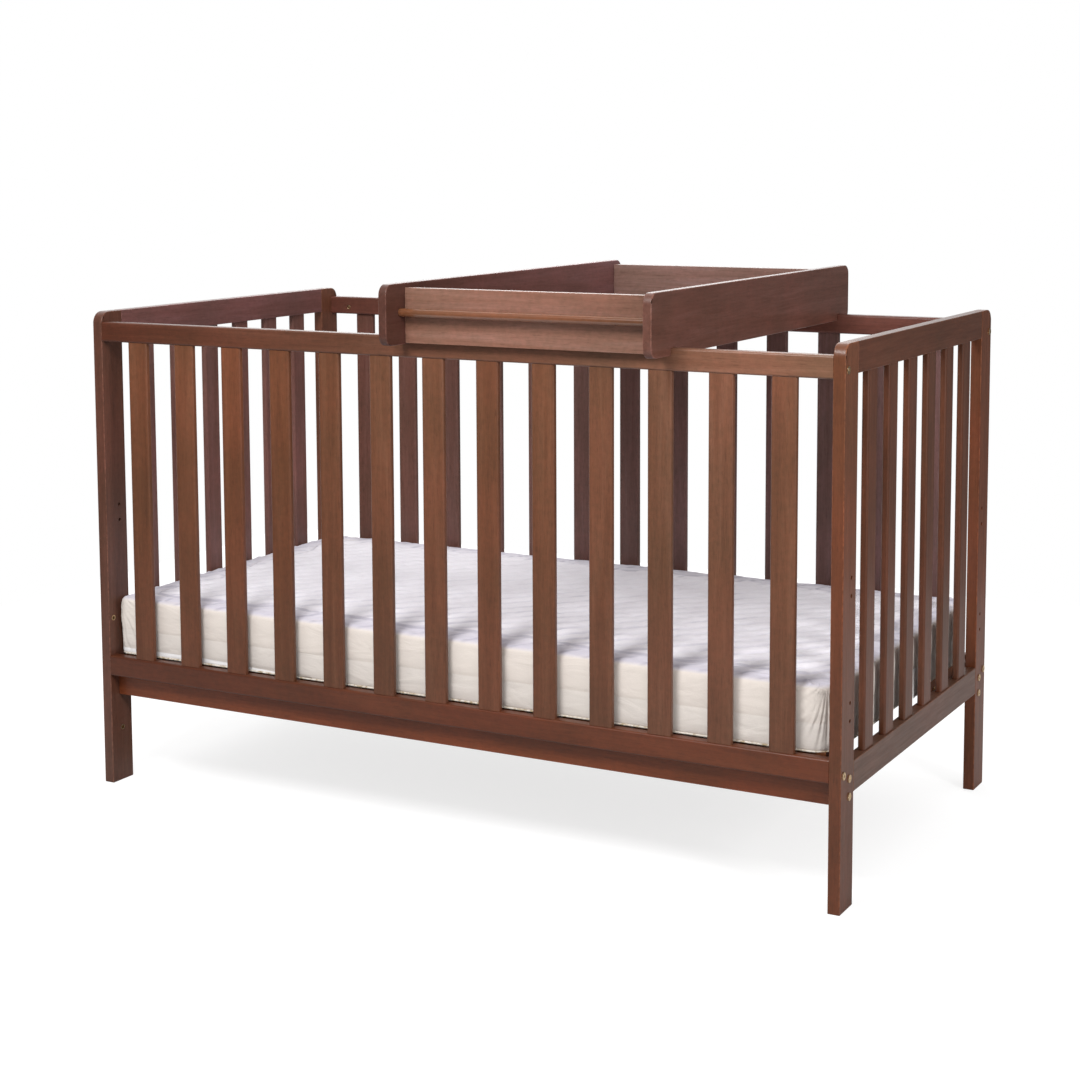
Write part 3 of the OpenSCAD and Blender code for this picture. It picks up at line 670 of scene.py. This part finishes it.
def crown_of(points):
    u = np.clip(abs(points[:, 0]) / HALF.x, 0, 1)
    v = np.clip(abs(points[:, 1]) / HALF.y, 0, 1)
    return CROWN * (1 - u ** CROWN_POWER) * (1 - v ** CROWN_POWER)


def puckers(points):
    """Small wrinkles in the top, deepest beside the edge seam and drawn out along the sides."""
    inward = edge_distance(points)
    fade = smooth_step((inward - PUCKER_FADE_FROM) / PUCKER_FADE_OVER)
    near = smooth_step(inward / PUCKER_BEGIN) * (1 - PUCKER_FADE * fade)
    return near * sum(size * field(points * scales, 1.0, start) for size, scales, start in PUCKERS)


def crease_in(points):
    """How far in from the nearest side the wandering crease round the top runs."""
    along = points[:, 0] + CREASE_SLANT * points[:, 1]
    return CREASE_IN + sum(size * np.sin(turns * along + start) for size, turns, start in CREASE_SWAY)


def gathers(points):
    """How far the sides stand out in the folds that fan out below each corner of the top."""
    from_x, from_y = HALF.x - abs(points[:, 0]), HALF.y - abs(points[:, 1])
    aside = from_x - from_y
    down = RIM_UP - points[:, 2]
    reach = np.hypot(aside, down)
    near = smooth_step(reach / GATHER_BEGIN)
    near *= 1 - smooth_step((reach - GATHER_FADE_FROM) / GATHER_FADE_OVER)
    near *= 1 - smooth_step((np.minimum(from_x, from_y) - GATHER_CORNER) / GATHER_CORNER)
    bend, *bend_noise = FAN_BEND
    rough, *rough_noise = FAN_ROUGH
    fan = np.arctan2(down + GATHER_CENTRE_UP, aside) + bend * field(points, *bend_noise)
    folds = sum(share * np.sin(fan * turns + start) for share, turns, start in FAN_FOLDS)
    return near * (folds + rough * field(points, *rough_noise))


def hem_line(points):
    """1 along the hem that runs up out of the lower front edge towards the left end."""
    height = HEM_UP * np.clip((HEM_TO - points[:, 0]) / (HEM_TO - HEM_FROM), 0, 1)
    front = 1 - smooth_step((points[:, 1] + HALF.y - HEM_FRONT) / HEM_FRONT_OVER)
    line = np.exp(-(((points[:, 2] - height) / HEM_WIDTH) ** 2))
    return np.where(height > HEM_SHOWS, front * line, 0)


def read_points(obj):
    flat = np.empty(len(obj.data.vertices) * 3)
    obj.data.vertices.foreach_get("co", flat)
    return flat.reshape(-1, 3)


def write_points(obj, points):
    obj.data.vertices.foreach_set("co", points.ravel())
    obj.data.update()


def hold_weights(spots, main, cross):
    """1 on the underside and side seam, strong on the channels and weak between them."""
    level = spots[:, 2].astype(int)
    top = len(PROFILE) - 1
    seam = min(range(top), key=lambda k: abs(PROFILE[k][1] - SEAM_UP))
    on_top = np.maximum(HOLD_MAIN * main, HOLD_CROSS * cross) + HOLD_TOP
    share = np.where(level == top, on_top, HOLD_SIDE)
    share[(level == 0) | (level == seam)] = 1.0
    return np.clip(share, 0.0, 1.0) ** HOLD_POWER


def puff(obj, hold):
    """Swells the cover by the pressure inside it, held by the weights, and capped."""
    start = read_points(obj)
    group = obj.vertex_groups.new(name="hold")
    for index, weight in enumerate(hold):
        group.add([index], float(weight), "REPLACE")
    cloth = obj.modifiers.new("puff", "CLOTH")
    cloth.point_cache.frame_start, cloth.point_cache.frame_end = 1, PUFF_FRAMES
    for key, value in CLOTH.items():
        setattr(cloth.settings, key, value)
    cloth.settings.effector_weights.gravity = 0.0
    for step in range(1, PUFF_FRAMES + 1):
        bpy.context.scene.frame_set(step)
    swollen = obj.evaluated_get(bpy.context.evaluated_depsgraph_get())
    moved = read_points(swollen) - start
    obj.modifiers.remove(cloth)
    obj.vertex_groups.remove(group)
    bpy.context.scene.frame_set(1)
    length = np.maximum(np.linalg.norm(moved, axis=1), TINY)
    moved *= (PUFF_MOST * np.tanh(length / PUFF_MOST) / length)[:, None]
    write_points(obj, start + moved)


def sewn(points):
    """The swollen cover with its crown, channels, edge seam, puckers and gathers, in place."""
    inward = edge_distance(points)
    top = smooth_step((points[:, 2] - RIM_UP + TOP_BEGINS_OVER) / TOP_BEGINS_OVER)
    main, cross = quilt_lines(points, CHANNEL_WIDTH)
    inner = smooth_step((inward - CREASE_IN) / QUILT_BEGINS_OVER)
    share, *uneven_noise = UNEVEN
    uneven = 1 + share * field(points * (1, 1, 0), *uneven_noise)
    lift = crown_of(points) - inner * uneven * (MAIN_DEEP * main + CROSS_DEEP * cross)
    lift -= EDGE_DROP * (1 - smooth_step(inward / EDGE_DROP_OVER))
    lift -= CREASE_DEEP * channel(inward - crease_in(points), 1.0, CREASE_WIDTH)
    fold = GATHER_DEEP * gathers(points) - HEM_DEEP * hem_line(points)
    side = np.stack([points[:, 0] / HALF.x, points[:, 1] / HALF.y], axis=1) ** SIDE_POWER
    side /= np.maximum(np.linalg.norm(side, axis=1), TINY)[:, None]
    placed = spread(points)
    placed[:, :2] += side * (fold * (1 - top))[:, None]
    placed[:, 2] += top * (lift + puckers(points) + fold)
    return placed + np.array((CENTRE.x, CENTRE.y, LOW.z))


def subdivided(obj):
    """Gives the object its mesh after one smooth subdivision."""
    fine = obj.modifiers.new("fine", "SUBSURF")
    fine.levels = 1
    graph = bpy.context.evaluated_depsgraph_get()
    data = bpy.data.meshes.new_from_object(obj.evaluated_get(graph))
    obj.modifiers.remove(fine)
    obj.data = data


def make_mattress():
    spots, faces = cover_grid()
    points = rounded_plan(spots)
    data = bpy.data.meshes.new("mattress_cover")
    data.from_pydata(points.tolist(), [], faces)
    obj = scene_object("mattress_cover", data)
    puff(obj, hold_weights(spots, *quilt_lines(points, HOLD_WIDTH)))
    subdivided(obj)
    write_points(obj, sewn(read_points(obj)))
    smoothed(obj.data)
    obj.data.materials.append(cover_material())
    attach(obj, "mattress")
    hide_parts("mattress")


# ---- The cover's material ----

# Linear colours. The fabric is white: the top's lavender is painted cool skylight, the sides' cream is
# painted warm lamp light, and the side below its seam is darker and cooler with painted shade. In
# order: the top, the painted shade over its edge and in its quilt channels, the band below the hem,
# and the sides above and below their seam
COOL_LIT_TOP = (0.86, 0.835, 0.885)
EDGE_SHADE = (0.74, 0.73, 0.77)
CHANNEL_SHADE = (0.74, 0.735, 0.775)
HEM_WHITE = (0.95, 0.94, 0.94)
WARM_LIT_SIDE = (0.765, 0.695, 0.635)
SHADED_LOW_SIDE = (0.72, 0.665, 0.615)
# Where these pass into each other: below and above the seam, below the rim, round the hem, in
# from the edge, off the crease, and off a quilt line as a part of the pitch
SEAM_BAND, RIM_BAND = 0.001, (0.006, 0.001)
HEM_BAND, HEM_LOWEST = (-0.0008, 0.0004), -0.001
EDGE_BAND, CREASE_BAND, CHANNEL_SHADE_BAND = (0.020, 0.065), (0.002, 0.007), (0.03, 0.17)
# How the painted shade in the quilt channels fades in and out: the noise, where on it it fades, and
# its least strength
CHANNEL_SHADE_FADE, CHANNEL_SHADE_FADE_AT, CHANNEL_SHADE_LEAST = (14.0, 2.0), (0.36, 0.60), 0.25
COVER_CLOUDS = (9.0, 3.0)
CLOUD_SHADES = (1.0, (0.3, (0.96, 0.955, 0.96)), (0.7, grey(1.0)))
KNIT_SCALE = 620.0
KNIT_SHADES = (1.0, (0.0, grey(0.95)), (0.6, grey(1.0)))
# Soft folds under the knit: their stretch, their noise, and both reliefs' strength and depth
FOLD_STRETCH, FOLDS = (0.35, 1.6, 1.0), (26.0, 3.0, 0.5, 0.8)
FOLD_RELIEF, KNIT_RELIEF = (0.55, 0.006), (0.2, 0.0006)


def quilt_channel_shade(tree, x, y):
    """1 on the main quilt lines of the top, where shade is painted in the channels, 0 beside them."""
    across = math_node(tree, "SUBTRACT", math_node(tree, "MULTIPLY", x, math.sin(QUILT_LEAN)),
                       math_node(tree, "MULTIPLY", y, math.cos(QUILT_LEAN)))
    for size, kx, ky, start in SWAY:
        turn = math_node(tree, "ADD", math_node(tree, "MULTIPLY", x, kx),
                         math_node(tree, "MULTIPLY_ADD", y, ky, start))
        across = math_node(tree, "MULTIPLY_ADD", math_node(tree, "SINE", turn), size, across)
    place = math_node(tree, "MULTIPLY_ADD", across, 1 / QUILT_PITCH, 0.5)
    part = math_node(tree, "FLOORED_MODULO", place, 1.0)
    off = math_node(tree, "ABSOLUTE", math_node(tree, "SUBTRACT", part, 0.5))
    return map_range(tree, off, *CHANNEL_SHADE_BAND, 1.0, 0.0)


def edge_bands(tree, x, y):
    """Where shade is painted: 1 at the top's edge, falling to 0 inwards, and 1 on the wandering crease
    beside it.
    """
    inward = math_node(tree, "MINIMUM",
                       math_node(tree, "SUBTRACT", HALF.x, math_node(tree, "ABSOLUTE", x)),
                       math_node(tree, "SUBTRACT", HALF.y, math_node(tree, "ABSOLUTE", y)))
    off = math_node(tree, "SUBTRACT", inward, CREASE_IN)
    along = math_node(tree, "MULTIPLY_ADD", y, CREASE_SLANT, x)
    for size, turns, start in CREASE_SWAY:
        wave = math_node(tree, "SINE", math_node(tree, "MULTIPLY_ADD", along, turns, start))
        off = math_node(tree, "MULTIPLY_ADD", wave, -size, off)
    crease = map_range(tree, math_node(tree, "ABSOLUTE", off), *CREASE_BAND, 1.0, 0.0)
    return map_range(tree, inward, *EDGE_BAND, 1.0, 0.0), crease


def cover_sides(tree, x, height):
    """Cream of painted lamp light above the seam, darker with painted shade below it, and white below
    the hem.
    """
    seam = LOW.z + SEAM_UP
    over_seam = map_range(tree, height, seam - SEAM_BAND, seam + SEAM_BAND)
    base = mix_colour(tree, "MIX", over_seam, solid(SHADED_LOW_SIDE), solid(WARM_LIT_SIDE))
    hem = map_range(tree, x, CENTRE.x + HEM_FROM, CENTRE.x + HEM_TO, HEM_UP, HEM_LOWEST)
    over_hem = math_node(tree, "SUBTRACT", math_node(tree, "SUBTRACT", height, LOW.z), hem)
    return mix_colour(tree, "MIX", map_range(tree, over_hem, *HEM_BAND), solid(HEM_WHITE), base)


def cover_colour(tree, coords):
    """A top in the lavender of painted skylight over sides in the cream of painted lamp light, with
    painted shade along its edge, crease and quilt lines.
    """
    x, y, height = axes_of(tree, coords)
    rim = LOW.z + RIM_UP
    on_top = map_range(tree, height, rim - RIM_BAND[0], rim - RIM_BAND[1])
    base = mix_colour(tree, "MIX", on_top, cover_sides(tree, x, height), solid(COOL_LIT_TOP))
    mid_x = math_node(tree, "SUBTRACT", x, CENTRE.x)
    mid_y = math_node(tree, "SUBTRACT", y, CENTRE.y)
    near_edge, crease = edge_bands(tree, mid_x, mid_y)
    fade = map_range(tree, noise_map(tree, coords, *CHANNEL_SHADE_FADE), *CHANNEL_SHADE_FADE_AT, CHANNEL_SHADE_LEAST, 1.0)
    channel_shade = math_node(tree, "MULTIPLY", quilt_channel_shade(tree, mid_x, mid_y), fade)
    lines = math_node(tree, "MAXIMUM", channel_shade, crease)
    # Painted shade over the strip along the top's edge, and in its quilt channels and crease
    for where, shade in ((near_edge, EDGE_SHADE), (lines, CHANNEL_SHADE)):
        base = mix_colour(tree, "MULTIPLY", math_node(tree, "MULTIPLY", where, on_top), base,
                          solid(shade))
    return shaded(tree, base, noise_map(tree, coords, *COVER_CLOUDS), CLOUD_SHADES)


def cover_material():
    """The cover: a quilted top in the lavender of painted skylight, sides in the cream of painted lamp
    light with a seam, and a fine knit.
    """
    mat, tree, shader, coords = new_material("mattress_cover")
    knit = add(tree, "ShaderNodeTexVoronoi", Scale=KNIT_SCALE)
    tree.links.new(coords, knit.inputs[0])
    base = shaded(tree, cover_colour(tree, coords), knit.outputs[0], KNIT_SHADES)
    tree.links.new(base, shader.inputs["Base Color"])
    shader.inputs["Roughness"].default_value = 0.9
    shader.inputs["Specular IOR Level"].default_value = 0.2
    shader.inputs["Sheen Weight"].default_value = 0.08
    turned = add(tree, "ShaderNodeMapping", Scale=FOLD_STRETCH, Rotation=(0, 0, -QUILT_LEAN))
    tree.links.new(coords, turned.inputs[0])
    folds = bumped(tree, noise_map(tree, turned.outputs[0], *FOLDS), *FOLD_RELIEF)
    relief = bumped(tree, knit.outputs[0], *KNIT_RELIEF, folds)
    tree.links.new(relief, shader.inputs["Normal"])
    return mat


# ---- Piping and care tag ----

PIPING_RADIUS = 0.0016
PIPING_SIDES = 10
CORNER_STEPS = 8
# How far the cord's middle lies inside the cover's outline, and above the underside in front
# (beside the slats' ends) and behind (on the slats)
PIPING_IN, PIPING_FRONT_UP, PIPING_REAR_UP = 0.0006, -0.0002, 0.0017
# The tag's width and length, its place along y, and how far off the mattress it begins
TAG_WIDE, TAG_LONG, TAG_Y, TAG_OFF = 0.030, 0.050, 0.061, 0.0016
TAG_COLUMNS, TAG_ROWS = 8, 14
# Its ripple: size, turns across and down. Its lower end's swing away from the mattress and along y
TAG_RIPPLE, TAG_SWING_OUT, TAG_SWING_REAR = (0.0005, 7, 4), 0.0012, 0.002
# Looks: scale and detail of the threads' noise, tones along it, roughness, relief's strength and depth
# The cord is cream with a fine mottle of threads; its ochre tint paints warm glints
PIPING_LOOK = ((170.0, 3.0), ((0.36, (0.42, 0.33, 0.20)), (0.50, (0.66, 0.60, 0.52)),
                              (0.70, (0.78, 0.74, 0.68))), 0.85, (0.4, 0.0006))
TAG_LOOK = ((1400.0, 2.0), ((0.35, (0.74, 0.73, 0.71)), (0.65, (0.88, 0.87, 0.86))), 0.8,
            (0.2, 0.0002))


def threaded_material(name, fineness, tones, roughness, relief):
    """Cord or tape: one fine noise gives both its tones and its relief."""
    mat, tree, shader, coords = new_material(name)
    threads = noise_map(tree, coords, *fineness)
    tree.links.new(ramp(tree, threads, tones), shader.inputs["Base Color"])
    shader.inputs["Roughness"].default_value = roughness
    tree.links.new(bumped(tree, threads, *relief), shader.inputs["Normal"])
    return mat


def piping_path():
    """The closed line round the mattress's lower edge, with round corners."""
    path = []
    for sx, sy, start in ((1, -1, -90), (1, 1, 0), (-1, 1, 90), (-1, -1, 180)):
        radius = CORNER_RADII[sx, sy]
        x, y = CENTRE.x + sx * (HALF.x - radius), CENTRE.y + sy * (HALF.y - radius)
        for step in range(CORNER_STEPS + 1):
            angle = math.radians(start + 90 * step / CORNER_STEPS)
            path.append(Vector((x + radius * math.cos(angle), y + radius * math.sin(angle), 0)))
    return path


def piping_ring(bm, path, index):
    """The vertices of one ring round the cord, following the cover's outline."""
    at, upward = path[index], Vector((0, 0, 1))
    ahead = (path[(index + 1) % len(path)] - path[index - 1]).normalized()
    outward = ahead.cross(upward)
    across = STANDS_OUT["right" if outward.x > 0 else "left"] - PIPING_IN
    back = STANDS_OUT["rear" if outward.y > 0 else "front"] - PIPING_IN
    rear = (at.y - LOW.y) / (HIGH.y - LOW.y)
    up = PIPING_FRONT_UP + (PIPING_REAR_UP - PIPING_FRONT_UP) * rear
    middle = at + Vector((across * outward.x, back * outward.y, LOW.z + up))
    angles = (math.tau * k / PIPING_SIDES for k in range(PIPING_SIDES))
    return [bm.verts.new(middle + PIPING_RADIUS * (math.cos(a) * outward + math.sin(a) * upward))
            for a in angles]


def make_piping():
    """A thin cord sewn round the mattress's lower edge, in straight runs and round corners."""
    data = bpy.data.meshes.new("mattress_piping")
    bm = bmesh.new()
    path = piping_path()
    rings = [piping_ring(bm, path, index) for index in range(len(path))]
    for ring, following in zip(rings, rings[1:] + rings[:1]):
        for k in range(PIPING_SIDES):
            after = (k + 1) % PIPING_SIDES
            bm.faces.new((ring[k], following[k], following[after], ring[after]))
    bmesh.ops.recalc_face_normals(bm, faces=bm.faces)
    bm.to_mesh(data)
    bm.free()
    smoothed(data)
    piping = scene_object("mattress_piping", data)
    data.materials.append(threaded_material("mattress_piping", *PIPING_LOOK))
    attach(piping, "mattress")


def make_care_tag():
    """A bare strip of white tape, sewn in the seam at the right end and hanging down."""
    data = bpy.data.meshes.new("care_tag")
    ripple, turns_across, turns_down = TAG_RIPPLE
    verts, faces = [], []
    for row in range(TAG_ROWS + 1):
        down = row / TAG_ROWS
        for column in range(TAG_COLUMNS + 1):
            side = column / TAG_COLUMNS - 0.5
            wave = ripple * math.sin(turns_across * side + turns_down * down)
            verts.append((HIGH.x + TAG_OFF + wave + TAG_SWING_OUT * down * down,
                          TAG_Y + TAG_WIDE * side + TAG_SWING_REAR * down * down,
                          LOW.z + SEAM_UP - TAG_LONG * down))
    wide = TAG_COLUMNS + 1
    for row in range(TAG_ROWS):
        for column in range(TAG_COLUMNS):
            first = row * wide + column
            faces.append((first, first + wide, first + wide + 1, first + 1))
    data.from_pydata(verts, [], faces)
    smoothed(data)
    tag = scene_object("care_tag", data)
    data.materials.append(threaded_material("care_tag", *TAG_LOOK))
    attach(tag, "mattress")


# ---- Floor, lights and camera ----

def make_floor():
    """A pale floor. The camera sees it nearly white, with the object's shadow."""
    size = FLOOR_HALF
    mesh = bpy.data.meshes.new("floor")
    mesh.from_pydata([(-size, -size, 0), (size, -size, 0), (size, size, 0), (-size, size, 0)],
                     [], [(0, 1, 2, 3)])
    floor = scene_object("floor", mesh)
    mat = bpy.data.materials.new("floor")
    tree = cleared(mat)
    out = add(tree, "ShaderNodeOutputMaterial")
    matte = add(tree, "ShaderNodeBsdfDiffuse", Color=solid(grey(FLOOR_COLOUR)))
    seen_matte = add(tree, "ShaderNodeBsdfDiffuse", Color=solid(grey(FLOOR_SEEN_COLOUR)))
    glow = add(tree, "ShaderNodeEmission", Strength=FLOOR_GLOW)
    path = add(tree, "ShaderNodeLightPath")
    both = add(tree, "ShaderNodeAddShader")
    pick = add(tree, "ShaderNodeMixShader")
    tree.links.new(seen_matte.outputs[0], both.inputs[0])
    tree.links.new(glow.outputs[0], both.inputs[1])
    tree.links.new(path.outputs["Is Camera Ray"], pick.inputs[0])
    tree.links.new(matte.outputs[0], pick.inputs[1])
    tree.links.new(both.outputs[0], pick.inputs[2])
    tree.links.new(pick.outputs[0], out.inputs[0])
    mesh.materials.append(mat)


def sky_direction(tree):
    """The x, y and z outputs of the direction in which the world is seen."""
    return axes_of(tree, add(tree, "ShaderNodeTexCoord").outputs["Generated"])


def gloss_level(tree):
    """What a gloss sees of the room: a bright wall behind at the left, dim elsewhere."""
    way = sky_direction(tree)
    wall = math_node(tree, "MULTIPLY", map_range(tree, way[1], *WALL_BACK),
                     map_range(tree, way[0], *WALL_LEFT))
    return map_range(tree, wall, 0.0, 1.0, GLOSS_DIM, GLOSS_BRIGHT)


def sky_level(tree):
    """The light from a direction: brightest overhead, dimmest from below."""
    way = sky_direction(tree)
    above = map_range(tree, way[2], 0.0, 1.0, SKY_LEVEL, SKY_TOP)
    below = map_range(tree, way[2], SKY_LOW_AT, 0.0, SKY_LOW - SKY_LEVEL, 0.0)
    return math_node(tree, "ADD", above, below)


def make_world():
    """White where the camera sees it, an even light elsewhere, and a room for glosses."""
    world = bpy.data.worlds.new("world")
    bpy.context.scene.world = world
    tree = cleared(world)
    world.cycles.sampling_method = "NONE"
    out = add(tree, "ShaderNodeOutputWorld")
    path = add(tree, "ShaderNodeLightPath")
    seen = math_node(tree, "MAXIMUM", path.outputs["Is Camera Ray"],
                     path.outputs["Is Transmission Ray"])
    level = mix_level(tree, path.outputs["Is Glossy Ray"], sky_level(tree), gloss_level(tree))
    light = add(tree, "ShaderNodeBackground", Color=solid(grey(1)))
    tree.links.new(mix_level(tree, seen, level, 1.0), light.inputs["Strength"])
    tree.links.new(light.outputs[0], out.inputs[0])


def make_lamp(name, at, size, watts):
    light = bpy.data.lights.new(name, "AREA")
    light.shape = "SQUARE"
    light.size = size
    light.energy = watts
    lamp = scene_object(name, light)
    lamp.visible_camera = False
    lamp.location = at
    lamp.rotation_euler = (Vector(AIM) - Vector(at)).to_track_quat("-Z", "Y").to_euler()


def make_camera():
    az, pitch, roll = (math.radians(a) for a in (AZIMUTH, PITCH, ROLL))
    forward = Vector((-math.sin(az) * math.cos(pitch), math.cos(az) * math.cos(pitch),
                      -math.sin(pitch)))
    right = Vector((math.cos(az), math.sin(az), 0))
    up = right.cross(forward)
    x_axis = math.cos(roll) * right + math.sin(roll) * up
    y_axis = math.cos(roll) * up - math.sin(roll) * right
    data = bpy.data.cameras.new("camera")
    data.sensor_width = SENSOR_MM
    data.lens = SENSOR_MM * FOCAL_PX / FRAME_PX
    data.shift_y = -(FRAME_PX / 2 - PRINCIPAL_Y) / FRAME_PX
    cam = scene_object("camera", data)
    turn = Matrix((x_axis, y_axis, -forward)).transposed()
    cam.matrix_world = Matrix.Translation(CAMERA_AT) @ turn.to_4x4()
    bpy.context.scene.camera = cam


def light_the_scene():
    make_floor()
    make_world()
    for name, (at, size, watts) in LAMPS.items():
        make_lamp(name, at, size, watts)
    bpy.context.scene.view_settings.view_transform = "Standard"


make_camera()
dress_cad_nodes()
make_mattress()
make_piping()
make_care_tag()
light_the_scene()
